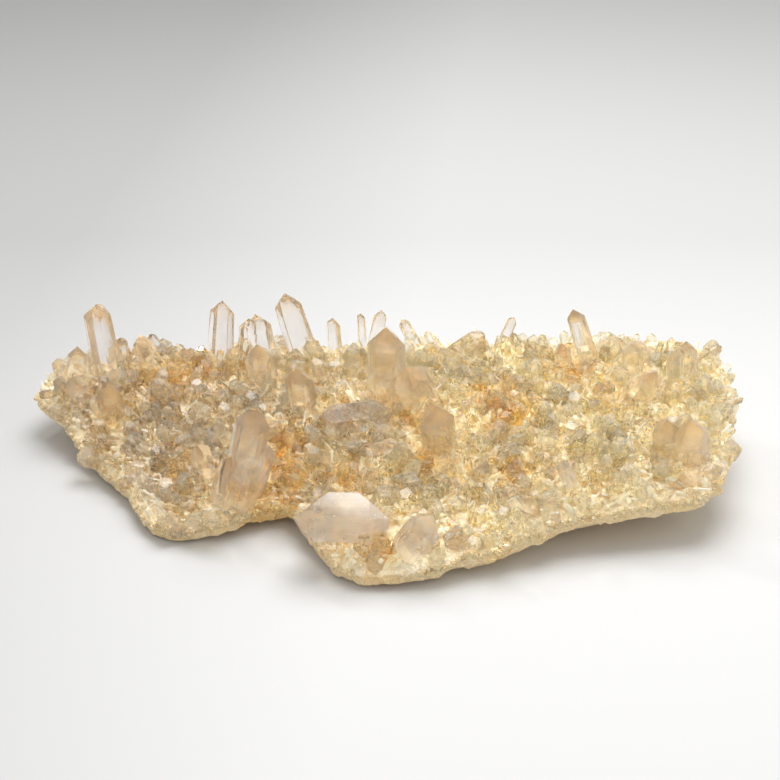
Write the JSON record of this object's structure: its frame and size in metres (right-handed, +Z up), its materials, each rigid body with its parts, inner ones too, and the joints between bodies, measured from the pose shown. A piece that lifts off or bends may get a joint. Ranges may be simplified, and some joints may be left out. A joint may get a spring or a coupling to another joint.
{
  "type": "himalayan quartz cluster",
  "caption": "Broad, thin-edged plate of cream rock crowded with clear and honey quartz points, lying flat.",
  "frame": {"origin": "middle of the whole cluster's box, at the level of the surface that it rests on", "axes": "+X to the right along the long side, +Y from the notched front edge to the straight back edge, +Z up"},
  "size_m": [0.4218, 0.2086, 0.0966],
  "materials": {
    "cream_rock": "rough, sugary vein quartz with iron stain",
    "clear_quartz": "clear, glossy crystal faces",
    "honey_quartz": "clear honey-coloured crystal, glossy",
    "milky_quartz": "translucent, cloudy crystal with satin faces"
  },
  "bodies": {
    "root": {"rock_plate": "cream_rock", "left_spire": "clear_quartz", "left_knob": "clear_quartz", "left_block": "clear_quartz", "left_needle": "clear_quartz", "left_stub": "clear_quartz", "left_honey_point": "honey_quartz", "house_point": "clear_quartz", "twin_points": "clear_quartz", "tall_back_point": "clear_quartz", "back_stub": "clear_quartz", "back_needles": "clear_quartz", "leaning_back_point": "clear_quartz", "mid_left_point": "clear_quartz", "front_tower": "milky_quartz", "dull_point": "honey_quartz", "honey_prism": "honey_quartz", "centre_tower": "clear_quartz", "clear_lying_crystal": "clear_quartz", "lying_crystal": "milky_quartz", "blunt_honey_point": "honey_quartz", "milky_front_point": "milky_quartz", "bright_front_point": "milky_quartz", "honey_front_point": "clear_quartz", "bright_stub": "clear_quartz", "orange_point": "honey_quartz", "curved_front_crystal": "clear_quartz", "bright_shard": "clear_quartz", "right_ridge": "clear_quartz", "skyline_leaner": "clear_quartz", "right_wedge": "clear_quartz", "tall_right_point": "clear_quartz", "back_lying_point": "clear_quartz", "right_block": "clear_quartz", "right_honey_prism": "honey_quartz", "far_lying_point": "clear_quartz", "right_pair": "clear_quartz", "right_clear_point": "clear_quartz", "side_clear_point": "clear_quartz", "corner_points": "honey_quartz"}
  },
  "joints": []
}
